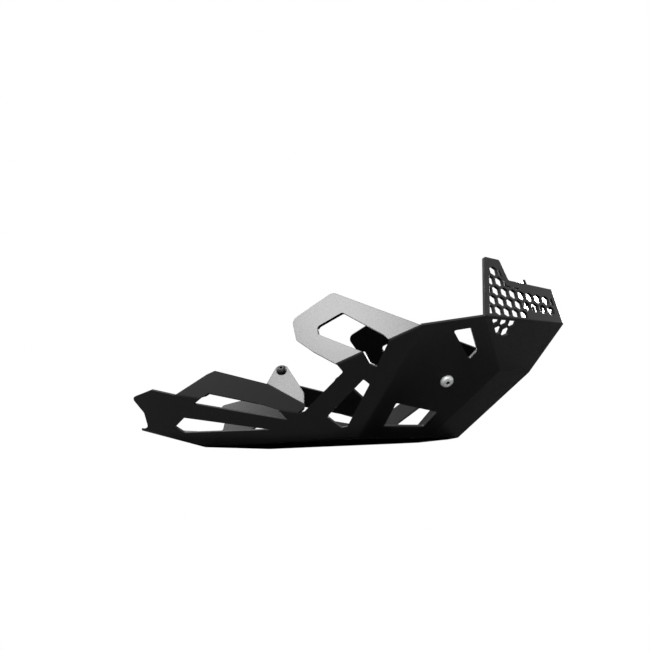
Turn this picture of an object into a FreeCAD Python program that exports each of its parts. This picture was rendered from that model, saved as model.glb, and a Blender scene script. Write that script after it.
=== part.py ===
import FreeCAD, Part
import math
import os

Vector = FreeCAD.Vector

# Sheet, bends and cut corners, in millimetres and degrees
SHEET = 4.0
BEND_RADIUS = 6.0
CORNER_RADIUS = 5.0
WINDOW_RADIUS = 2.0
BAND_RADIUS = 3.0
NOTCH_RADIUS = 2.0
HOOK_TIP_RADIUS = 9.0
HOOK_CROWN_RADIUS = 14.0
TAB_RADIUS = 9.5
TAB_FOOT_RADIUS = 20.0
BEND_LAP = 1.0
BEND_FULLNESS = 0.85

# Nose, told along the centre ridge from the floor up
NOSE_SWEEP = 31.0
FLOOR_FRONT = 148.0
CHIN_RUN = 104.0
CHIN_RISE = 83.0
BROW_RUN = 50.0
BROW_RISE = 61.0
BAND_LEAN = 12.0
BAND_RISE = 47.0

# Half widths where the nose panels turn into the cheeks
CHIN_FOOT_HALF = 45.0
CHIN_TOP_HALF = 47.0
BROW_TOP_HALF = 123.0

# Floor, side panels and the kicked-up tail
FLOOR_HALF = 120.0
CHEEK_TOP_X = 163.0
CHEEK_TOP_HALF = 175.0
MIDDLE_FOOT = 40.0
CREASE_RUN = 29.5
CREASE_RISE = 41.0
REAR_FOOT_X = -196.0
REAR_FOOT_HALF = 100.0
KICK_RUN = 105.0
KICK_RISE = 28.5

# Perforated band: its upper edge, its tower and its honeycomb, with each row's start along the fold
BAND_SLOPE = 4.2
TOWER_FOOT = 86.5
TOWER_LEAN = 9.0
TOWER_RISE = 27.5
TOWER_TOP = 26.0
HEX_FLATS = 11.6
HEX_PITCH = 14.7
HEX_ROW = 13.9
HEX_START = 21.3
HEX_BASE = 1.2
HEX_LEAN = 1.6
HEX_ROWS = [(-2, 92.0), (-1, 86.0), (0, 68.0), (1, 9.0), (2, 9.0), (3, 68.0), (4, 68.0)]
HEX_BORDER = 8.5
FOLD_BORDER = 3.0

# Openings of the cheek, u along its foot and v up the panel
CHEEK_SLOT = [(19, 172), (-4, 177), (-25, 143), (-18, 129)]
CHEEK_VENT = [(65, 59), (1, 44), (14, 20), (72, 21)]
CHEEK_SCREW = (4, 95)

# Middle panel: hook fold, notch, rear edge and triangular window
HOOK_FOLD_RUN = 122.5
HOOK_FOLD_DROP = 40.0
NOTCH_START = 48.0
NOTCH_END = 87.0
NOTCH = [(-45, 95), (-37, 99)]
MIDDLE_HEEL = (2, 92)
MIDDLE_WINDOW = [(-24, 80), (-31, 73), (11, 18), (20, 17), (37, 33)]

# Hook arm, u along its fold and v up the arm
HOOK_BEND = 50.0
HOOK_BACK = [(168, 40), (195, 72), (203, 112), (133, 126)]
HOOK_EYE = [(56, 13), (118, 82), (160, 78), (158, 64)]

# Rear panel: tail notch, low window, peak of its upper edge, and the fold and the gap below the rail
TAIL_EDGE = [(296, 37), (295, 59), (309, 84)]
REAR_WINDOW = [(86, 20.5), (226, 47), (247, 34), (234, 24)]
REAR_PEAK = (269, 93)
RAIL_REAR = (230.5, 82)
RAIL_FRONT = (38, 41.5)
RAIL_GAP = [(185.5, 74.5), (201, 66.5), (55.5, 33), (65, 48)]

# Rail above the rear panel, u from its rear end, and the tab above the rail
RAIL_BEND = 45.0
RAIL_TOP = [(41.5, 38), (52, 44.5)]
RAIL_TIP = (204, 8)
RAIL_WINDOW = [(41.5, -1.5), (53.5, 10.3), (144, 5.6), (170.5, 0), (172, -1.5)]
TAB_FOOT_REAR = (139, 35.5)
TAB_FOOT_FRONT = (203, 14)
TAB_BEND = 25.0
TAB_TOP = (-17, 49.5)
TAB_CORNER = (54, 16)
TAB_SCREW = (-0.5, 31)

# Screws and the spacers behind the sheet
CHEEK_THREAD = 8.0
CHEEK_FLANGE = 18.0
CHEEK_SPACER = 16.0
CHEEK_SPACER_LENGTH = 18.0
TAB_THREAD = 6.0
TAB_FLANGE = 14.5
TAB_SPACER = 14.0
TAB_SPACER_LENGTH = 8.0
THREAD_CLEARANCE = 0.5
THREAD_REACH = 12.0
THREAD_PITCH_SHARE = 0.9
FLANGE_HEIGHT = 1.2
HEAD_SHARE = 0.97
HEAD_HEIGHT = 4.0
CROWN_WIDTH_SHARE = 0.86
CROWN_HEIGHT_SHARE = 0.6
CROWN_FLAT_SHARE = 0.4
SOCKET_SHARE = 0.62
SOCKET_DEPTH = 3.0
SEAT_GAP = 0.1

CUT_ABOVE = SHEET
CUT_BELOW = 2 * SHEET
INSIDE = Vector(0, 0, CHIN_RISE)
ACROSS = Vector(0, 1, 0)


def plane_through(a, b, c):
    """Normal of the plane through three points, and its distance along that normal."""
    normal = (b - a).cross(c - a)
    return normal, normal.dot(a)


def rounded_wire(points, radii):
    """Closed wire through points, with each corner rounded by its own radius."""
    count = len(points)
    edges = []
    starts = []
    ends = []
    arcs = []
    for i, corner in enumerate(points):
        back = (points[i - 1] - corner).normalize()
        ahead = (points[(i + 1) % count] - corner).normalize()
        half = back.getAngle(ahead) / 2
        run = radii[i] / math.tan(half)
        starts.append(corner + back * run)
        ends.append(corner + ahead * run)
        middle = corner + (back + ahead).normalize() * (radii[i] / math.sin(half) - radii[i])
        arcs.append(Part.Arc(starts[i], middle, ends[i]).toShape() if radii[i] else None)
    for i in range(count):
        if arcs[i]:
            edges.append(arcs[i])
        edges.append(Part.LineSegment(ends[i], starts[(i + 1) % count]).toShape())
    return Part.Wire(edges)


class Panel:
    """A flat panel of the sheet, told from a fold line: u along the fold and v up the panel."""

    def __init__(self, origin, along, inside):
        self.origin = origin
        self.u = (along - origin).normalize()
        reach = inside - origin
        self.v = (reach - self.u * reach.dot(self.u)).normalize()
        self.out = self.u.cross(self.v)
        if self.out.dot(origin - INSIDE) < 0:
            self.out = self.out * -1

    def at(self, place):
        """Point in space of a place in the panel."""
        return self.origin + self.u * place[0] + self.v * place[1]

    def place(self, point):
        """Place in the panel of a point in space."""
        reach = point - self.origin
        return (reach.dot(self.u), reach.dot(self.v))

    def prism(self, points, radii, above, below):
        """Solid on an outline, from above the outer skin to below it."""
        face = Part.Face(rounded_wire(points, radii))
        face.translate(self.out * above)
        return face.extrude(self.out * -(above + below))

    def plate(self, points, radii):
        """The panel's own sheet on an outline of points in space."""
        return self.prism(points, radii, 0, SHEET)

    def window(self, places, radius=WINDOW_RADIUS):
        """Cutter for an opening on an outline of places in the panel."""
        return self.prism([self.at(place) for place in places], [radius] * len(places), CUT_ABOVE, CUT_BELOW)

    def bore(self, place, diameter):
        """Cutter for a round hole."""
        top = self.at(place) + self.out * CUT_ABOVE
        return Part.makeCylinder(diameter / 2, CUT_ABOVE + CUT_BELOW, top, self.out * -1)

    def folded(self, start, end, bend):
        """Panel beyond the fold from start to end, turned inwards by bend degrees."""
        axis = (end - start).normalize()
        ways = [FreeCAD.Rotation(axis, turn).multVec(self.v) for turn in (bend, -bend)]
        return Panel(start, end, start + min(ways, key=lambda way: way.y))


def swept(ridge, half):
    """Point a half width out from the ridge, along the nose's sweep."""
    return Vector(ridge.x - half * math.tan(math.radians(NOSE_SWEEP)), half, ridge.z)


# Corners of the hull on one side
floor_ridge = Vector(FLOOR_FRONT, 0, 0)
chin_ridge = floor_ridge + Vector(CHIN_RUN, 0, CHIN_RISE)
brow_ridge = chin_ridge + Vector(BROW_RUN, 0, BROW_RISE)
band_ridge = brow_ridge + Vector(-BAND_LEAN, 0, BAND_RISE)
chin_foot = swept(floor_ridge, CHIN_FOOT_HALF)
chin_top = swept(chin_ridge, CHIN_TOP_HALF)
brow_top = swept(brow_ridge, BROW_TOP_HALF)
way, level = plane_through(chin_foot, chin_top, brow_top)
cheek_foot = Vector((level - way.y * FLOOR_HALF) / way.x, FLOOR_HALF, 0)
cheek_top = Vector(CHEEK_TOP_X, CHEEK_TOP_HALF, 0)
cheek_top.z = (level - way.x * cheek_top.x - way.y * cheek_top.y) / way.z
middle_foot = cheek_foot - Vector(MIDDLE_FOOT, 0, 0)
rear_foot = Vector(REAR_FOOT_X, REAR_FOOT_HALF, 0)

# Panels of one side
band = Panel(brow_ridge, brow_top, band_ridge)
brow = Panel(brow_ridge, brow_top, chin_ridge)
chin = Panel(floor_ridge, chin_foot, chin_ridge)
cheek = Panel(chin_foot, cheek_foot, cheek_top)
middle = Panel(cheek_foot, middle_foot, cheek_top)
crease_top = middle.at((MIDDLE_FOOT + CREASE_RUN, CREASE_RISE))
rear = Panel(middle_foot, rear_foot, crease_top)
way, level = plane_through(middle_foot, rear_foot, crease_top)
tail = Vector(REAR_FOOT_X - KICK_RUN, 0, KICK_RISE)
tail.y = (level - way.x * tail.x - way.z * tail.z) / way.y
floor = Panel(Vector(0, 0, 0), Vector(1, 0, 0), ACROSS)
kick = Panel(Vector(REAR_FOOT_X, 0, 0), rear_foot, Vector(tail.x, 0, tail.z))

# Folds of the hook, the rail and the tab
hook_start = cheek_top
hook_u, hook_v = middle.place(hook_start)
hook_end = middle.at((hook_u + HOOK_FOLD_RUN, hook_v - HOOK_FOLD_DROP))
hook = middle.folded(hook_start, hook_end, HOOK_BEND)
rail_rear = rear.at(RAIL_REAR)
rail_front = rear.at(RAIL_FRONT)
rail = rear.folded(rail_rear, rail_front, RAIL_BEND)
tab_rear = rail.at(TAB_FOOT_REAR)
tab_front = rail.at(TAB_FOOT_FRONT)
tab = rail.folded(tab_rear, tab_front, TAB_BEND)


def band_line(u):
    """Height of the band's upper edge at u along its fold."""
    corner = band.place(band_ridge)
    return corner[1] + (u - corner[0]) * math.tan(math.radians(BAND_SLOPE))


def band_outline():
    """Places of the band's outline, from the ridge out along the fold and back over the tower."""
    tower_inner = TOWER_FOOT + TOWER_LEAN
    tower_outer = tower_inner + TOWER_TOP
    return [
        (0, 0),
        band.place(brow_top),
        (tower_outer, band_line(tower_outer) + TOWER_RISE),
        (tower_inner, band_line(tower_inner) + TOWER_RISE),
        (TOWER_FOOT, band_line(TOWER_FOOT)),
        band.place(band_ridge),
    ]


def hexagon(panel, centre, flip):
    """Cutter for one cell of the honeycomb, pointed along v."""
    radius = HEX_FLATS / math.sqrt(3)
    places = []
    for k in range(6):
        angle = math.radians(60 * k + 30)
        places.append((centre[0] + radius * math.cos(angle), flip * (centre[1] + radius * math.sin(angle))))
    return panel.window(places, 0)


def inset(places, distance):
    """Outline moved inwards by a distance of its own for each edge, the edge that leaves each place."""
    area = 0
    for i, place in enumerate(places):
        following = places[(i + 1) % len(places)]
        area += place[0] * following[1] - following[0] * place[1]
    turn = math.copysign(1, area)
    lines = []
    for i, place in enumerate(places):
        following = places[(i + 1) % len(places)]
        length = math.hypot(following[0] - place[0], following[1] - place[1])
        normal = (-turn * (following[1] - place[1]) / length, turn * (following[0] - place[0]) / length)
        lines.append((normal, normal[0] * place[0] + normal[1] * place[1] + distance[i]))
    corners = []
    for i in range(len(places)):
        (a, b), p = lines[i - 1]
        (c, d), q = lines[i]
        det = a * d - b * c
        corners.append(((p * d - b * q) / det, (a * q - p * c) / det))
    return corners


def honeycomb():
    """Cutters for the cells of the band and of the brow below it, trimmed to a plain border."""
    slope = math.tan(math.radians(BAND_SLOPE))
    reach = band.place(brow_top)[0]
    upper = []
    lower = []
    for row, start in HEX_ROWS:
        u = HEX_START - HEX_PITCH / 2 * (row % 2 == 0) - HEX_LEAN * abs(row)
        while u < reach:
            if u > start:
                v = HEX_BASE + HEX_ROW * row + slope * u
                if row >= 0:
                    upper.append(hexagon(band, (u, v), 1))
                else:
                    lower.append(hexagon(brow, (u, v), -1))
            u += HEX_PITCH
    outline = band_outline()
    borders = [FOLD_BORDER] + [HEX_BORDER] * (len(outline) - 1)
    field = band.window(inset(outline, borders), 0)
    brow_places = [(0, 0), brow.place(brow_top), brow.place(chin_top), brow.place(chin_ridge)]
    brow_field = brow.window(inset(brow_places, [FOLD_BORDER] + [HEX_BORDER] * (len(brow_places) - 1)), 0)
    return [Part.makeCompound(upper).common(field), Part.makeCompound(lower).common(brow_field)]


def sharp(count):
    """No rounding at any of so many corners."""
    return [0] * count


def half_shell():
    """One side of the folded sheet, with its openings."""
    band_points = [band.at(place) for place in band_outline()]
    notch_start = hook.at((NOTCH_START, 0))
    notch_end = hook.at((NOTCH_END, 0))
    middle_points = [cheek_foot, cheek_top, notch_start] + [middle.at(place) for place in NOTCH]
    middle_points += [notch_end, hook_end, middle.at(MIDDLE_HEEL), crease_top, middle_foot]
    middle_radii = sharp(3) + [NOTCH_RADIUS] * 2 + sharp(2) + [NOTCH_RADIUS] + sharp(2)
    hook_points = [hook_start, notch_start] + [hook.at(place) for place in HOOK_EYE]
    hook_points += [notch_end, hook_end] + [hook.at(place) for place in HOOK_BACK]
    hook_radii = sharp(2) + [CORNER_RADIUS] * 4 + sharp(2)
    hook_radii += [CORNER_RADIUS, CORNER_RADIUS, HOOK_TIP_RADIUS, HOOK_CROWN_RADIUS]
    rear_points = [middle_foot, crease_top, rail_front, rail_rear, rear.at(REAR_PEAK)]
    rear_points += [rear.at(place) for place in reversed(TAIL_EDGE)] + [tail, rear_foot]
    rear_radii = sharp(5) + [CORNER_RADIUS] * 3 + sharp(2)
    rail_points = [rail_rear] + [rail.at(place) for place in RAIL_TOP]
    rail_points += [tab_rear, tab_front, rail.at(RAIL_TIP), rail_front]
    rail_radii = [0, CORNER_RADIUS, CORNER_RADIUS, 0, 0, CORNER_RADIUS, 0]
    tab_points = [tab_rear, tab.at(TAB_TOP), tab.at(TAB_CORNER), tab_front]
    tab_radii = [0, TAB_RADIUS, TAB_FOOT_RADIUS, 0]
    floor_points = [Vector(REAR_FOOT_X, 0, 0), rear_foot, middle_foot, cheek_foot, chin_foot, floor_ridge]
    kick_points = [Vector(REAR_FOOT_X, 0, 0), rear_foot, tail, Vector(tail.x, 0, tail.z)]
    plates = [
        band.plate(band_points, sharp(2) + [BAND_RADIUS] * 4),
        brow.plate([brow_ridge, brow_top, chin_top, chin_ridge], sharp(4)),
        chin.plate([chin_ridge, chin_top, chin_foot, floor_ridge], sharp(4)),
        cheek.plate([chin_foot, chin_top, brow_top, cheek_top, cheek_foot], sharp(5)),
        middle.plate(middle_points, middle_radii),
        hook.plate(hook_points, hook_radii),
        rear.plate(rear_points, rear_radii),
        rail.plate(rail_points, rail_radii),
        tab.plate(tab_points, tab_radii),
        floor.plate(floor_points, sharp(6)),
        kick.plate(kick_points, sharp(4)),
    ]
    openings = honeycomb() + [
        cheek.window(CHEEK_SLOT),
        cheek.window(CHEEK_VENT),
        cheek.bore(CHEEK_SCREW, CHEEK_THREAD + 2 * THREAD_CLEARANCE),
        middle.window(MIDDLE_WINDOW),
        rear.window(REAR_WINDOW, 0),
        rear.window(RAIL_GAP, 0),
        rail.window(RAIL_WINDOW, 0),
        tab.bore(TAB_SCREW, TAB_THREAD + 2 * THREAD_CLEARANCE),
    ]
    return plates[0].multiFuse(plates[1:]), openings


def mirrored(shape):
    """The same shape on the other side of the centre plane."""
    return shape.mirror(Vector(0, 0, 0), ACROSS)


def across(direction):
    """A direction seen on the other side of the centre plane."""
    return Vector(direction.x, -direction.y, direction.z)


def bend(start, end, out_a, out_b):
    """Cutter that rounds the outer corner of a fold between two panels facing out_a and out_b."""
    axis = (end - start).normalize()
    first = start - axis * BEND_LAP
    inward = (out_a + out_b) * (BEND_RADIUS / (1 + out_a.dot(out_b)))
    centre = first - inward
    touch_a = centre + out_a * BEND_RADIUS
    touch_b = centre + out_b * BEND_RADIUS
    chord = (touch_a + touch_b) / 2
    crown = chord + (centre + (out_a + out_b).normalize() * BEND_RADIUS - chord) * BEND_FULLNESS
    outer = first + inward * (BEND_LAP / BEND_RADIUS)
    corners = [touch_b, touch_b + out_b * BEND_LAP, outer, touch_a + out_a * BEND_LAP, touch_a]
    edges = [Part.Arc(touch_a, crown, touch_b).toShape()]
    for i in range(len(corners) - 1):
        edges.append(Part.LineSegment(corners[i], corners[i + 1]).toShape())
    return Part.Face(Part.Wire(edges)).extrude(axis * ((end - start).Length + 2 * BEND_LAP))


def side_bends():
    """Cutters for the folds of one side."""
    return [
        bend(floor_ridge, chin_foot, floor.out, chin.out),
        bend(chin_ridge, chin_top, chin.out, brow.out),
        bend(brow_ridge, brow_top, brow.out, band.out),
        bend(chin_foot, chin_top, chin.out, cheek.out),
        bend(chin_top, brow_top, brow.out, cheek.out),
        bend(chin_foot, cheek_foot, floor.out, cheek.out),
        bend(cheek_foot, cheek_top, cheek.out, middle.out),
        bend(cheek_foot, middle_foot, floor.out, middle.out),
        bend(middle_foot, crease_top, middle.out, rear.out),
        bend(middle_foot, rear_foot, floor.out, rear.out),
        bend(rear_foot, tail, kick.out, rear.out),
        bend(hook_start, hook_end, middle.out, hook.out),
        bend(rail_rear, rail_front, rear.out, rail.out),
        bend(tab_rear, tab_front, rail.out, tab.out),
    ]


def centre_bends():
    """Cutters for the folds that lie on the centre plane or cross it."""
    return [
        bend(floor_ridge, chin_ridge, chin.out, across(chin.out)),
        bend(chin_ridge, brow_ridge, brow.out, across(brow.out)),
        bend(brow_ridge, band_ridge, band.out, across(band.out)),
        bend(rear_foot, across(rear_foot), floor.out, kick.out),
    ]


def screw(panel, place, thread, flange, spacer_length):
    """Screw with a wide domed head seated on a panel, with a hexagon socket."""
    head = flange * HEAD_SHARE / 2
    core = thread * THREAD_PITCH_SHARE / 2
    collar = -(SHEET + spacer_length + 2 * SEAT_GAP)
    tip = collar - THREAD_REACH
    top = FLANGE_HEIGHT + HEAD_HEIGHT
    profile = [(0, tip), (core, tip), (core, collar), (thread / 2, collar), (thread / 2, 0)]
    profile += [(flange / 2, 0), (head, FLANGE_HEIGHT)]
    profile += [(head * CROWN_WIDTH_SHARE, FLANGE_HEIGHT + HEAD_HEIGHT * CROWN_HEIGHT_SHARE)]
    profile += [(head * CROWN_FLAT_SHARE, top), (0, top)]
    points = [Vector(x, 0, z) for x, z in profile]
    body = Part.Face(Part.makePolygon(points + points[:1])).revolve(Vector(0, 0, 0), Vector(0, 0, 1), 360)
    radius = thread * SOCKET_SHARE / math.sqrt(3)
    turns = [math.radians(60 * k) for k in range(6)]
    ring = [Vector(radius * math.cos(turn), radius * math.sin(turn), top) for turn in turns]
    socket = Part.Face(Part.makePolygon(ring + ring[:1])).extrude(Vector(0, 0, -SOCKET_DEPTH))
    return seated(body.cut(socket), panel, place, SEAT_GAP)


def spacer(panel, place, thread, diameter, length):
    """Round sleeve behind a panel, on the shank of its screw."""
    sleeve = Part.makeCylinder(diameter / 2, length)
    sleeve = sleeve.cut(Part.makeCylinder(thread / 2 + THREAD_CLEARANCE, length))
    return seated(sleeve, panel, place, -(SHEET + SEAT_GAP + length))


def seated(shape, panel, place, lift):
    """A shape made about +Z, set on a panel at a place and lifted along its outward side."""
    turn = FreeCAD.Rotation(Vector(0, 0, 1), panel.out)
    shape.Placement = FreeCAD.Placement(panel.at(place) + panel.out * lift, turn)
    return shape


def write(name, shape):
    """Write one node and say what it holds."""
    shape.exportStep("parts/" + name + ".step")
    print(name, len(shape.Solids), shape.isValid(), round(shape.Volume))


def main():
    """Build the sheet and its fasteners, and write each node."""
    os.makedirs("parts", exist_ok=True)
    half, openings = half_shell()
    whole = half.fuse(mirrored(half)).removeSplitter()
    cutters = openings + side_bends()
    cutters += [mirrored(cutter) for cutter in cutters] + centre_bends()
    write("guard_shell", whole.cut(cutters))
    fasteners = {
        "cheek_screws": screw(cheek, CHEEK_SCREW, CHEEK_THREAD, CHEEK_FLANGE, CHEEK_SPACER_LENGTH),
        "cheek_spacers": spacer(cheek, CHEEK_SCREW, CHEEK_THREAD, CHEEK_SPACER, CHEEK_SPACER_LENGTH),
        "tab_screws": screw(tab, TAB_SCREW, TAB_THREAD, TAB_FLANGE, TAB_SPACER_LENGTH),
        "tab_spacers": spacer(tab, TAB_SCREW, TAB_THREAD, TAB_SPACER, TAB_SPACER_LENGTH),
    }
    for name, shape in fasteners.items():
        write(name, Part.makeCompound([shape, mirrored(shape)]))


main()
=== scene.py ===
"""Looks of a folded aluminium engine guard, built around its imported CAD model."""

import logging
import math
from collections.abc import Callable
from dataclasses import dataclass
from enum import Enum

import bpy
from mathutils import Matrix, Vector


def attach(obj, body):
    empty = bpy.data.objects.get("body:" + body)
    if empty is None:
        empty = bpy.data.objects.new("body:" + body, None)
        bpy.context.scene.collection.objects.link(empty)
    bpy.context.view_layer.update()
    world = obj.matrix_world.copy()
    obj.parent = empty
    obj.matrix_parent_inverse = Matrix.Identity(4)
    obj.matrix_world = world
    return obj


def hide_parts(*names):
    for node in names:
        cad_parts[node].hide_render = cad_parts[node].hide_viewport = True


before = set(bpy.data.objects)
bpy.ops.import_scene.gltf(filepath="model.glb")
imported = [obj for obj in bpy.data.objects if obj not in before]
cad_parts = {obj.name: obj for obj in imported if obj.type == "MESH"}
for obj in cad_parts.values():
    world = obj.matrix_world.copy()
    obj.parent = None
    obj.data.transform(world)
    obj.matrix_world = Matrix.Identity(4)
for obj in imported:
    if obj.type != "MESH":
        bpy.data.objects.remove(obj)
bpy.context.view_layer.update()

LOG = logging.getLogger("engine_guard")
MM = 0.001
ROOT_BODY = "root"
# A face whose normal has more than this along Z is a cap that faces up
FACING = 0.9
# Most values of a noise texture lie between these
NOISE_LOW = 0.3
NOISE_HIGH = 0.7


class Slot(Enum):
    """Material slots of the record."""

    COAT = "powder_coat"
    BRIGHT = "bright_screw"
    BLACK = "black_screw"
    SLEEVE = "spacer"


def linear(hex_colour: str) -> tuple[float, float, float, float]:
    """Turn an sRGB hex colour into linear light.

    Args:
        hex_colour: Six hex digits after a hash sign.

    Returns:
        Linear red, green and blue, with an alpha of 1.
    """
    channels = [int(hex_colour[i:i + 2], 16) / 255 for i in (1, 3, 5)]
    red, green, blue = [
        c / 12.92 if c <= 0.04045 else ((c + 0.055) / 1.055) ** 2.4 for c in channels
    ]
    return (red, green, blue, 1.0)


def add_node(
    tree: bpy.types.NodeTree,
    kind: str,
    settings: dict | None = None,
    inputs: dict | None = None,
) -> bpy.types.Node:
    """Add one node with its settings, and set or link its inputs.

    Args:
        tree: The node tree that takes the node.
        kind: The node's type name.
        settings: Attributes of the node.
        inputs: Values or output sockets, by input name or number.

    Returns:
        The new node.
    """
    node = tree.nodes.new(kind)
    for name, value in (settings or {}).items():
        setattr(node, name, value)
    for name, value in (inputs or {}).items():
        if isinstance(value, bpy.types.NodeSocket):
            tree.links.new(value, node.inputs[name])
        else:
            node.inputs[name].default_value = value
    return node


def per_mm(size: float) -> float:
    """Texture scale on metre coordinates for features of a size in millimetres."""
    return 1.0 / (size * MM)


def blank_material(name: str) -> tuple[bpy.types.Material, bpy.types.NodeTree, bpy.types.Node]:
    """Make a material with only its output node.

    Args:
        name: The material's name.

    Returns:
        The material, its node tree and its output node.
    """
    material = bpy.data.materials.new(name)
    material.use_nodes = True
    tree = material.node_tree
    tree.nodes.clear()
    output = add_node(tree, "ShaderNodeOutputMaterial")
    return material, tree, output


@dataclass(frozen=True)
class PowderCoat:
    """Satin black polyester powder, baked on aluminium.

    The powder flows as it melts, which rounds the cut edges and leaves a shallow orange peel
    a few millimetres across, with a finer grain that breaks up reflections. To the eye it is
    black where it mirrors the dark and light grey where it mirrors a lamp.
    """

    name: str = "satin_black_powder_coat"
    base: str = "#070708"
    lifted: str = "#0d0d0e"
    ior: float = 1.33
    smooth: float = 0.26
    rough: float = 0.32
    peel_mm: float = 3.2
    grain_mm: float = 0.7
    cloud_mm: float = 60.0
    edge_mm: float = 0.8
    edge_samples: int = 6
    peel_depth_mm: float = 0.02
    grain_depth_mm: float = 0.006

    def make(self) -> bpy.types.Material:
        """Build the coat's nodes.

        Returns:
            The material.
        """
        material, tree, output = blank_material(self.name)
        place = add_node(tree, "ShaderNodeTexCoord").outputs["Object"]
        peel = add_node(
            tree, "ShaderNodeTexNoise", {"noise_dimensions": "3D"},
            {"Vector": place, "Scale": per_mm(self.peel_mm), "Detail": 1.0, "Roughness": 0.4},
        )
        grain = add_node(
            tree, "ShaderNodeTexNoise", {"noise_dimensions": "3D"},
            {"Vector": place, "Scale": per_mm(self.grain_mm), "Detail": 2.0, "Roughness": 0.6},
        )
        cloud = add_node(
            tree, "ShaderNodeTexNoise", {"noise_dimensions": "3D"},
            {"Vector": place, "Scale": per_mm(self.cloud_mm), "Detail": 3.0, "Roughness": 0.55},
        )
        colour = add_node(
            tree, "ShaderNodeMix", {"data_type": "RGBA"},
            {0: cloud.outputs["Fac"], 6: linear(self.base), 7: linear(self.lifted)},
        )
        gloss = add_node(
            tree, "ShaderNodeMapRange", None,
            {"Value": grain.outputs["Fac"], "From Min": NOISE_LOW, "From Max": NOISE_HIGH,
             "To Min": self.smooth, "To Max": self.rough},
        )
        rounded = add_node(
            tree, "ShaderNodeBevel", {"samples": self.edge_samples}, {"Radius": self.edge_mm * MM},
        )
        orange = add_node(
            tree, "ShaderNodeBump", None,
            {"Strength": 1.0, "Distance": self.peel_depth_mm * MM,
             "Height": peel.outputs["Fac"], "Normal": rounded.outputs["Normal"]},
        )
        fine = add_node(
            tree, "ShaderNodeBump", None,
            {"Strength": 1.0, "Distance": self.grain_depth_mm * MM,
             "Height": grain.outputs["Fac"], "Normal": orange.outputs["Normal"]},
        )
        shader = add_node(
            tree, "ShaderNodeBsdfPrincipled", None,
            {"Base Color": colour.outputs[2], "Roughness": gloss.outputs["Result"],
             "IOR": self.ior, "Normal": fine.outputs["Normal"]},
        )
        tree.links.new(shader.outputs["BSDF"], output.inputs["Surface"])
        return material


@dataclass(frozen=True)
class TurnedMetal:
    """Bare or plated metal with fine marks from the tool that shaped it."""

    name: str
    base: str
    worn: str
    metallic: float
    smooth: float
    rough: float
    mark_mm: float
    blotch_mm: float
    depth_mm: float

    def make(self) -> bpy.types.Material:
        """Build the metal's nodes.

        Returns:
            The material.
        """
        material, tree, output = blank_material(self.name)
        place = add_node(tree, "ShaderNodeTexCoord").outputs["Object"]
        marks = add_node(
            tree, "ShaderNodeTexNoise", {"noise_dimensions": "3D"},
            {"Vector": place, "Scale": per_mm(self.mark_mm), "Detail": 3.0, "Roughness": 0.65},
        )
        blotch = add_node(
            tree, "ShaderNodeTexNoise", {"noise_dimensions": "3D"},
            {"Vector": place, "Scale": per_mm(self.blotch_mm), "Detail": 2.0, "Roughness": 0.5},
        )
        colour = add_node(
            tree, "ShaderNodeMix", {"data_type": "RGBA"},
            {0: blotch.outputs["Fac"], 6: linear(self.base), 7: linear(self.worn)},
        )
        gloss = add_node(
            tree, "ShaderNodeMapRange", None,
            {"Value": marks.outputs["Fac"], "From Min": NOISE_LOW, "From Max": NOISE_HIGH,
             "To Min": self.smooth, "To Max": self.rough},
        )
        relief = add_node(
            tree, "ShaderNodeBump", None,
            {"Strength": 1.0, "Distance": self.depth_mm * MM, "Height": marks.outputs["Fac"]},
        )
        shader = add_node(
            tree, "ShaderNodeBsdfPrincipled", None,
            {"Base Color": colour.outputs[2], "Roughness": gloss.outputs["Result"],
             "Metallic": self.metallic, "Normal": relief.outputs["Normal"]},
        )
        tree.links.new(shader.outputs["BSDF"], output.inputs["Surface"])
        return material


# Zinc-plated steel: pale, slightly blue, with a soft gloss
ZINC_STEEL = TurnedMetal(
    "zinc_plated_steel", "#f4f5f6", "#e6e8ea", 0.7, 0.42, 0.55, 0.5, 4.0, 0.004
)
# Black oxide on steel: nearly black with an oily sheen
BLACK_OXIDE = TurnedMetal(
    "black_oxide_steel", "#17171a", "#222225", 0.35, 0.34, 0.5, 0.5, 4.0, 0.004
)
# Painted shade for a screw's socket: a dark finish without gloss that stands in for the shade inside the
# hollow
SOCKET_SHADE = TurnedMetal(
    "painted_socket_shade", "#1b1b1c", "#262626", 0.0, 0.6, 0.75, 0.5, 2.0, 0.004
)
# Turned aluminium: pale grey with a dull gloss
TURNED_ALUMINIUM = TurnedMetal(
    "turned_aluminium", "#bcbec0", "#a6a9ac", 1.0, 0.3, 0.45, 0.4, 6.0, 0.004
)


def deselect() -> None:
    """Leave object mode with nothing selected."""
    if bpy.context.mode != "OBJECT":
        bpy.ops.object.mode_set(mode="OBJECT")
    bpy.ops.object.select_all(action="DESELECT")


def activate(piece: bpy.types.Object) -> None:
    """Make a piece the only selected object.

    Args:
        piece: The object to select.
    """
    deselect()
    piece.select_set(True)
    bpy.context.view_layer.objects.active = piece


def apply_all(piece: bpy.types.Object) -> None:
    """Apply every modifier of a piece.

    Args:
        piece: The object whose modifiers are applied.
    """
    activate(piece)
    for modifier in list(piece.modifiers):
        bpy.ops.object.modifier_apply(modifier=modifier.name)


def settle(piece: bpy.types.Object, turn: Matrix) -> None:
    """Put a piece's place into its mesh, so that its object sits at the origin.

    Args:
        piece: The object that was modelled about the origin.
        turn: The matrix that carries it to its place.
    """
    piece.data.transform(turn @ piece.matrix_world)
    piece.matrix_world = Matrix.Identity(4)


def dress(piece: bpy.types.Object, material: bpy.types.Material, node: str) -> None:
    """Give a new piece its finish, its body and the CAD node it stands for.

    Args:
        piece: The finished object.
        material: Its finish.
        node: The CAD node that it replaces.
    """
    piece.data.materials.clear()
    piece.data.materials.append(material)
    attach(piece, ROOT_BODY)
    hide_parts(node)
    LOG.info("%s: %d faces", piece.name, len(piece.data.polygons))


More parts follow.
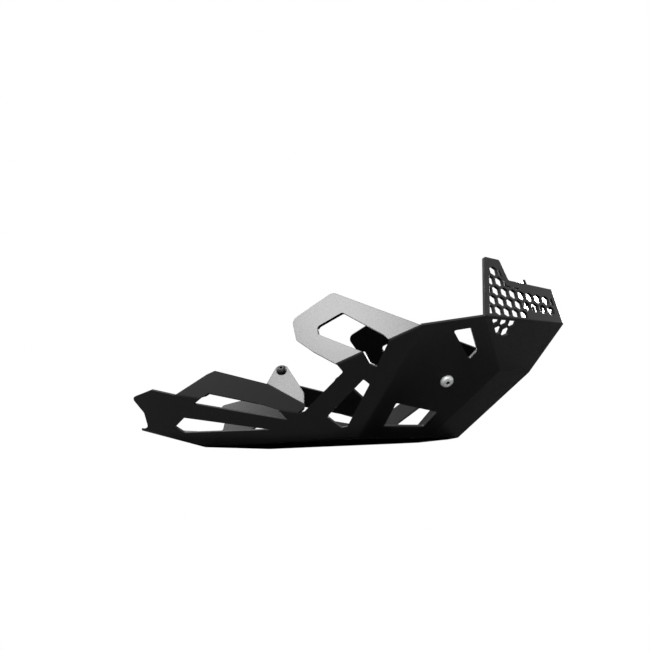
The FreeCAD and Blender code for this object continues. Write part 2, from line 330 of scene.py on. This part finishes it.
def pick_faces(piece: bpy.types.Object, wanted: Callable[[Vector, Vector], bool]) -> None:
    """Enter edit mode with only some faces of a piece selected.

    Args:
        piece: The object to edit.
        wanted: Test of a face's centre and normal.
    """
    activate(piece)
    bpy.ops.object.mode_set(mode="EDIT")
    bpy.ops.mesh.select_mode(type="FACE")
    bpy.ops.mesh.select_all(action="DESELECT")
    bpy.ops.object.mode_set(mode="OBJECT")
    for face in piece.data.polygons:
        face.select = wanted(face.center, face.normal)
    bpy.ops.object.mode_set(mode="EDIT")


def draw_cap(rise_mm: float, share: float) -> None:
    """Extrude the selected cap along Z and scale it about the Z axis.

    Args:
        rise_mm: How far the cap moves, downwards where it is negative.
        share: The new radius as a share of the old one.
    """
    bpy.ops.mesh.extrude_region_move(TRANSFORM_OT_translate={"value": (0.0, 0.0, rise_mm * MM)})
    bpy.ops.transform.resize(value=(share, share, 1.0), center_override=(0.0, 0.0, 0.0))


def draw_caps(radius_mm: float, stations: list[tuple[float, float]]) -> None:
    """Extrude the selected cap through a run of stations.

    Args:
        radius_mm: The cap's radius at the start.
        stations: The rise and the new radius of each station, in millimetres.
    """
    for rise_mm, next_mm in stations:
        draw_cap(rise_mm, next_mm / radius_mm)
        radius_mm = next_mm


def cut(piece: bpy.types.Object, cutter: bpy.types.Object) -> None:
    """Cut one piece out of another and delete the cutter.

    Args:
        piece: The object that keeps its rest.
        cutter: The object that is taken away.
    """
    deselect()
    hole = piece.modifiers.new("hole", "BOOLEAN")
    hole.operation = "DIFFERENCE"
    hole.solver = "EXACT"
    hole.object = cutter
    apply_all(piece)
    bpy.data.objects.remove(cutter, do_unlink=True)


def join(*pieces: bpy.types.Object) -> bpy.types.Object:
    """Join several pieces into the first.

    Args:
        pieces: The objects to join.

    Returns:
        The first piece.
    """
    activate(pieces[0])
    for piece in pieces:
        piece.select_set(True)
    bpy.ops.object.join()
    return pieces[0]


def ease_edges(piece: bpy.types.Object, width_mm: float, least_deg: float, segments: int) -> None:
    """Bevel every edge that is sharper than an angle.

    Args:
        piece: The object to ease.
        width_mm: Width of the bevel.
        least_deg: Least angle between the faces of an edge that is eased.
        segments: Faces across the bevel.
    """
    ease = piece.modifiers.new("ease", "BEVEL")
    ease.width = width_mm * MM
    ease.segments = segments
    ease.limit_method = "ANGLE"
    ease.angle_limit = math.radians(least_deg)
    ease.use_clamp_overlap = True
    apply_all(piece)


def even_normals(mesh: bpy.types.Mesh, smooth_deg: float, wide_mm: float) -> None:
    """Give wide faces one flat normal and let the narrow faces of bends blend into them.

    Args:
        mesh: The mesh of a piece.
        smooth_deg: Greatest angle between two faces that blend.
        wide_mm: Breadth from which a face is a flat panel.
    """
    sides: dict[tuple[int, int], list[bpy.types.MeshPolygon]] = {}
    wide = []
    for face in mesh.polygons:
        longest = 0.0
        for key in face.edge_keys:
            sides.setdefault(key, []).append(face)
            longest = max(longest, (mesh.vertices[key[0]].co - mesh.vertices[key[1]].co).length)
        wide.append(face.area > longest * wide_mm * MM)
    least = math.cos(math.radians(smooth_deg))
    normals = [Vector((0.0, 0.0, 1.0))] * len(mesh.loops)
    for face in mesh.polygons:
        for loop in face.loop_indices:
            corner = mesh.loops[loop].vertex_index
            touching = [other for key in face.edge_keys if corner in key for other in sides[key]]
            near = [
                other for other in touching
                if other.index != face.index and other.normal.dot(face.normal) > least
            ]
            panels = [other for other in near if wide[other.index]]
            if wide[face.index] or not near:
                normals[loop] = face.normal.copy()
            elif panels:
                normals[loop] = panels[0].normal.copy()
            else:
                normals[loop] = sum((other.normal for other in near), face.normal.copy()).normalized()
    mesh.normals_split_custom_set(normals)


@dataclass(frozen=True)
class EasedNode:
    """A CAD solid's shape with even normals and, where they have a width, eased edges."""

    node: str
    name: str
    slot: Slot
    edge_mm: float
    weld_mm: float = 0.01
    flat_deg: float = 0.6
    edge_deg: float = 33.0
    edge_segments: int = 2
    wide_mm: float = 3.2

    def build(self) -> bpy.types.Object:
        """Copy the CAD mesh, merge it into flat faces, ease its edges and even its normals.

        Returns:
            The finished object.
        """
        piece = bpy.data.objects.new(self.name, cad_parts[self.node].data.copy())
        bpy.context.scene.collection.objects.link(piece)
        activate(piece)
        bpy.ops.object.mode_set(mode="EDIT")
        bpy.ops.mesh.select_all(action="SELECT")
        bpy.ops.mesh.remove_doubles(threshold=self.weld_mm * MM)
        bpy.ops.mesh.dissolve_limited(angle_limit=math.radians(self.flat_deg))
        bpy.ops.object.mode_set(mode="OBJECT")
        if self.edge_mm:
            ease_edges(piece, self.edge_mm, self.edge_deg, self.edge_segments)
        bpy.ops.object.shade_smooth_by_angle(angle=math.radians(self.edge_deg))
        even_normals(piece.data, self.edge_deg, self.wide_mm)
        return piece

    def make(self, material: bpy.types.Material) -> None:
        """Build the piece and dress it."""
        dress(self.build(), material, self.node)


GUARD_SHEET = EasedNode("guard_shell", "guard_sheet", Slot.COAT, 0.0)
CHEEK_SLEEVES = EasedNode("cheek_spacers", "cheek_sleeves", Slot.SLEEVE, 0.7)
TAB_SLEEVES = EasedNode("tab_spacers", "tab_sleeves", Slot.SLEEVE, 0.6)


@dataclass(frozen=True)
class DomedScrews:
    """A screw with a wide domed head on each side of the guard, modelled about +Z from its seat.

    The seat and the outward way are those of the left side, and the right side mirrors them.
    """

    node: str
    name: str
    slot: Slot
    seat_mm: tuple[float, float, float]
    out: tuple[float, float, float]
    thread_mm: float
    pitch_mm: float
    head_width_mm: float
    plain_mm: float
    socket_mm: float
    reach_mm: float = 12.0
    rim_mm: float = 0.5
    head_mm: float = 5.2
    crown_share: float = 0.39
    socket_depth_mm: float = 3.0
    mouth_mm: float = 0.5
    depth_share: float = 0.61
    sides: int = 64
    dome_steps: int = 8
    drill_depth_share: float = 0.3333
    drill_tip_share: float = 0.1
    thread_start_share: float = 0.75
    edge_mm: float = 0.15
    edge_deg: float = 28.0
    edge_segments: int = 2

    def side_seat(self, side: int) -> tuple[Vector, Vector]:
        """Seat and outward way of the screw on one side.

        Args:
            side: 1 for the left side and -1 for the right.

        Returns:
            The seat in metres and the unit way out of it.
        """
        mirror = Vector((1, side, 1))
        return Vector(self.seat_mm) * mirror * MM, Vector(self.out) * mirror

    def minor_mm(self) -> float:
        """Radius at the root of the thread."""
        return self.thread_mm / 2 - self.depth_share * self.pitch_mm

    def head_stations(self) -> list[tuple[float, float]]:
        """Rises and radii from the head's rim over its dome.

        Returns:
            Pairs of a rise and a radius.
        """
        rim = self.head_width_mm / 2
        crown = rim * self.crown_share
        dome = self.head_mm - self.rim_mm
        stations = []
        height = 0.0
        for step in range(1, self.dome_steps + 1):
            turn = math.radians(90 * step / self.dome_steps)
            stations.append((dome * math.sin(turn) - height, crown + (rim - crown) * math.cos(turn)))
            height = dome * math.sin(turn)
        return stations

    def shank_stations(self) -> list[tuple[float, float]]:
        """Rises and radii from under the head down to the chamfered tip.

        Returns:
            Pairs of a rise and a radius.
        """
        minor = self.minor_mm()
        step = self.thread_mm / 2 - minor
        return [
            (-self.plain_mm, self.thread_mm / 2),
            (-step, minor),
            (step + self.pitch_mm / 2 - self.reach_mm, minor),
            (-self.pitch_mm / 2, minor - self.pitch_mm / 2),
        ]

    def body(self) -> bpy.types.Object:
        """Draw the head and the shank from a disc.

        Returns:
            The screw's body.
        """
        deselect()
        rim = self.rim_mm * MM
        radius = self.head_width_mm / 2
        bpy.ops.mesh.primitive_cylinder_add(
            vertices=self.sides, radius=radius * MM, depth=rim, location=(0.0, 0.0, rim / 2)
        )
        piece = bpy.context.object
        settle(piece, Matrix.Identity(4))
        pick_faces(piece, lambda centre, normal: normal.z > FACING)
        draw_caps(radius, self.head_stations())
        pick_faces(piece, lambda centre, normal: normal.z < -FACING)
        bpy.ops.mesh.inset(thickness=(radius - self.thread_mm / 2) * MM)
        draw_caps(self.thread_mm / 2, self.shank_stations())
        deselect()
        return piece

    def socket(self) -> bpy.types.Object:
        """Draw the cutter of the hexagon socket, with its drilled bottom.

        Returns:
            The cutter.
        """
        deselect()
        radius = self.socket_mm / math.sqrt(3)
        bpy.ops.mesh.primitive_cylinder_add(
            vertices=6, radius=radius * MM, depth=2 * self.socket_depth_mm * MM,
            location=(0.0, 0.0, self.head_mm * MM),
        )
        piece = bpy.context.object
        settle(piece, Matrix.Identity(4))
        pick_faces(piece, lambda centre, normal: normal.z < -FACING)
        draw_caps(radius, [(-radius * self.drill_depth_share, radius * self.drill_tip_share)])
        deselect()
        return piece

    def mouth(self) -> bpy.types.Object:
        """Draw the cutter of the socket's chamfered mouth.

        Returns:
            The cutter.
        """
        deselect()
        corner = self.socket_mm / math.sqrt(3)
        flat = self.socket_mm / 2
        bpy.ops.mesh.primitive_cone_add(
            vertices=self.sides, radius1=flat * MM, radius2=(corner + self.mouth_mm) * MM,
            depth=2 * self.mouth_mm * MM, location=(0.0, 0.0, self.head_mm * MM),
        )
        piece = bpy.context.object
        settle(piece, Matrix.Identity(4))
        return piece

    def thread(self) -> bpy.types.Object:
        """Wind the thread's ridge along the free end.

        Returns:
            The ridge, closed at both ends.
        """
        deselect()
        bpy.ops.mesh.primitive_circle_add(vertices=3, radius=1.0)
        piece = bpy.context.object
        root = self.minor_mm() - self.edge_mm
        crest = self.thread_mm / 2
        tall = (crest - root) * 2 / 3
        turns = int((self.reach_mm - self.pitch_mm) / self.pitch_mm)
        low = self.pitch_mm * self.thread_start_share - self.plain_mm - self.reach_mm
        stand = Matrix((
            (0, tall, 0, root + tall / 2),
            (0, 0, 1, 0),
            (self.pitch_mm / 2, 0, 0, low),
            (0, 0, 0, 1),
        ))
        settle(piece, Matrix.Scale(MM, 4) @ stand)
        wind = piece.modifiers.new("wind", "SCREW")
        wind.axis = "Z"
        wind.screw_offset = self.pitch_mm * MM
        wind.iterations = turns
        wind.steps = wind.render_steps = self.sides // 2
        apply_all(piece)
        bpy.ops.object.mode_set(mode="EDIT")
        bpy.ops.mesh.select_all(action="SELECT")
        bpy.ops.mesh.fill_holes(sides=3)
        bpy.ops.mesh.select_all(action="SELECT")
        bpy.ops.mesh.normals_make_consistent(inside=False)
        deselect()
        return piece

    def build(self) -> bpy.types.Object:
        """Model one screw, copy it to both sides and join the pair.

        Returns:
            The pair of screws.
        """
        screw = self.body()
        ease_edges(screw, self.edge_mm, self.edge_deg, self.edge_segments)
        cut(screw, self.mouth())
        cut(screw, self.socket())
        screw = join(screw, self.thread())
        bpy.ops.object.shade_smooth_by_angle(angle=math.radians(self.edge_deg))
        twin = bpy.data.objects.new(self.name, screw.data.copy())
        bpy.context.scene.collection.objects.link(twin)
        for piece, side in ((screw, 1), (twin, -1)):
            seat, way = self.side_seat(side)
            settle(piece, Matrix.Translation(seat) @ way.to_track_quat("Z", "Y").to_matrix().to_4x4())
        pair = join(screw, twin)
        pair.name = self.name
        return pair

    def socket_shade(self, pair: bpy.types.Object, material: bpy.types.Material) -> None:
        """Give the faces inside the sockets a dark finish, painted shade for the hollow.

        Args:
            pair: The finished pair of screws.
            material: The painted shade for the sockets.
        """
        pair.data.materials.append(material)
        for side in (1, -1):
            seat, way = self.side_seat(side)
            for face in pair.data.polygons:
                reach = face.center - seat
                height = reach.dot(way)
                off_axis = (reach - way * height).length
                inside = 0.0 < height < (self.head_mm - self.mouth_mm) * MM
                if inside and off_axis < self.socket_mm * MM:
                    # Painted shade: the faces inside the socket take the dark finish
                    face.material_index = 1

    def make(self, material: bpy.types.Material, socket_shade: bpy.types.Material) -> None:
        """Build the pair and dress it, its sockets with painted shade."""
        pair = self.build()
        dress(pair, material, self.node)
        self.socket_shade(pair, socket_shade)


CHEEK_SCREWS = DomedScrews(
    "cheek_screws", "cheek_screw_pair", Slot.BRIGHT, (164.5375, 92.171, 70.1215),
    (0.534174, 0.51042, -0.673891), 8.0, 1.25, 18.0, 22.2, 4.96,
)
TAB_SCREWS = DomedScrews(
    "tab_screws", "tab_screw_pair", Slot.BLACK, (-68.3523, 102.3629, 100.4647),
    (0.251862, 0.735207, 0.629313), 6.0, 1.0, 14.5, 12.2, 3.72,
)


@dataclass
class View:
    """The photograph's camera, told in the guard's frame."""

    place: tuple[float, float, float] = (0.5300, -1.2655, -0.0474)
    yaw_deg: float = 24.5
    rise_deg: float = 9.1
    roll_deg: float = -1.8
    half_frame_px: float = 325.0
    focal_px: float = 950.0

    def make(self) -> None:
        """Add the camera and make it the scene's own."""
        yaw, rise, roll = (math.radians(a) for a in (self.yaw_deg, self.rise_deg, self.roll_deg))
        ahead = Vector((-math.sin(yaw) * math.cos(rise), math.cos(yaw) * math.cos(rise), math.sin(rise)))
        level = Vector((math.cos(yaw), math.sin(yaw), 0.0))
        upright = level.cross(ahead)
        right = math.cos(roll) * level + math.sin(roll) * upright
        up = math.cos(roll) * upright - math.sin(roll) * level
        data = bpy.data.cameras.new("photo_camera")
        data.sensor_fit = "HORIZONTAL"
        data.angle = 2 * math.atan(self.half_frame_px / self.focal_px)
        data.clip_start = 0.01
        camera = bpy.data.objects.new("photo_camera", data)
        turn = Matrix((right, up, -ahead)).transposed()
        camera.matrix_world = Matrix.Translation(self.place) @ turn.to_4x4()
        bpy.context.scene.collection.objects.link(camera)
        bpy.context.scene.camera = camera


@dataclass(frozen=True)
class SoftBox:
    """A rectangular lamp that faces its aim, with a grid where its spread is narrow."""

    name: str
    place: tuple[float, float, float]
    size: tuple[float, float]
    watts: float
    aim: tuple[float, float, float] = (0.0, 0.0, 0.08)
    spread_deg: float = 180.0

    def make(self) -> None:
        """Add the lamp, turned towards its aim."""
        data = bpy.data.lights.new(self.name, "AREA")
        data.shape = "RECTANGLE"
        data.size, data.size_y = self.size
        data.energy = self.watts
        data.spread = math.radians(self.spread_deg)
        lamp = bpy.data.objects.new(self.name, data)
        way = Vector(self.aim) - Vector(self.place)
        turn = way.to_track_quat("-Z", "Y").to_matrix().to_4x4()
        lamp.matrix_world = Matrix.Translation(self.place) @ turn
        bpy.context.scene.collection.objects.link(lamp)


@dataclass
class Studio:
    """Pale floor, white surroundings and soft lamps."""

    floor_half: float = 12.0
    floor_cells: int = 8
    floor_drop: float = 0.0006
    floor_colour: str = "#9c9c9a"
    floor_roughness: float = 0.9
    floor_gloss: float = 0.1
    sky_colour: str = "#ffffff"
    fill: float = 0.12

    def floor(self) -> None:
        """Lay the floor, which is clear from below because the camera stands a little under it."""
        deselect()
        bpy.ops.mesh.primitive_grid_add(
            x_subdivisions=self.floor_cells, y_subdivisions=self.floor_cells, size=2 * self.floor_half,
        )
        slab = bpy.context.object
        slab.name = "studio_floor"
        settle(slab, Matrix.Translation((0.0, 0.0, -self.floor_drop)))
        material, tree, output = blank_material("pale_studio_floor")
        top = add_node(
            tree, "ShaderNodeBsdfPrincipled", None,
            {"Base Color": linear(self.floor_colour), "Roughness": self.floor_roughness,
             "Specular IOR Level": self.floor_gloss},
        )
        clear = add_node(tree, "ShaderNodeBsdfTransparent")
        side = add_node(tree, "ShaderNodeNewGeometry")
        both = add_node(
            tree, "ShaderNodeMixShader", None,
            {0: side.outputs["Backfacing"], 1: top.outputs[0], 2: clear.outputs[0]},
        )
        tree.links.new(both.outputs[0], output.inputs["Surface"])
        slab.data.materials.append(material)

    def sky(self) -> None:
        """Surround the guard with white that the camera and reflections see, and dimmer fill light."""
        world = bpy.data.worlds.new("white_surroundings")
        bpy.context.scene.world = world
        world.use_nodes = True
        tree = world.node_tree
        tree.nodes.clear()
        rays = add_node(tree, "ShaderNodeLightPath")
        seen = add_node(
            tree, "ShaderNodeMath", {"operation": "MAXIMUM"},
            {0: rays.outputs["Is Camera Ray"], 1: rays.outputs["Is Glossy Ray"]},
        )
        shown = add_node(
            tree, "ShaderNodeMath", {"operation": "MAXIMUM"},
            {0: seen.outputs[0], 1: rays.outputs["Is Transmission Ray"]},
        )
        level = add_node(
            tree, "ShaderNodeMapRange", None,
            {"Value": shown.outputs[0], "To Min": self.fill, "To Max": 1.0},
        )
        white = add_node(
            tree, "ShaderNodeBackground", None,
            {"Color": linear(self.sky_colour), "Strength": level.outputs["Result"]},
        )
        output = add_node(tree, "ShaderNodeOutputWorld")
        tree.links.new(white.outputs[0], output.inputs["Surface"])

    def make(self) -> None:
        """Set the floor, the surroundings and the lamps."""
        self.floor()
        self.sky()
        for lamp in SOFT_BOXES:
            lamp.make()
        bpy.context.scene.view_settings.view_transform = "Standard"


SOFT_BOXES = (
    SoftBox("hook_box", (-1.3, -0.57, 1.54), (0.62, 0.5), 27.5),
    SoftBox("top_box", (-0.22, -0.43, 2.04), (0.3, 0.3), 18.0),
    SoftBox("nose_box", (1.2, 1.7, 0.8), (0.7, 0.7), 12.0, (0.4, 0.1, 0.0), 90.0),
    SoftBox("rim_box", (-2.0, 1.9, 0.42), (0.8, 0.4), 2.0, (0.27, 0.05, 0.22), 22.0),
    SoftBox("flash_box", (0.75, -1.3, 0.35), (0.3, 0.3), 0.22, (0.165, -0.09, 0.09), 30.0),
)


def main() -> None:
    """Build the camera, the stage and each piece."""
    logging.basicConfig(level=logging.INFO, format="%(name)s %(message)s")
    View().make()
    Studio().make()
    GUARD_SHEET.make(PowderCoat().make())
    # Painted shade for the screws' sockets: a dark finish in the hollows
    socket_shade = SOCKET_SHADE.make()
    CHEEK_SCREWS.make(ZINC_STEEL.make(), socket_shade)
    TAB_SCREWS.make(BLACK_OXIDE.make(), socket_shade)
    sleeve = TURNED_ALUMINIUM.make()
    CHEEK_SLEEVES.make(sleeve)
    TAB_SLEEVES.make(sleeve)


if __name__ == "__main__":
    main()
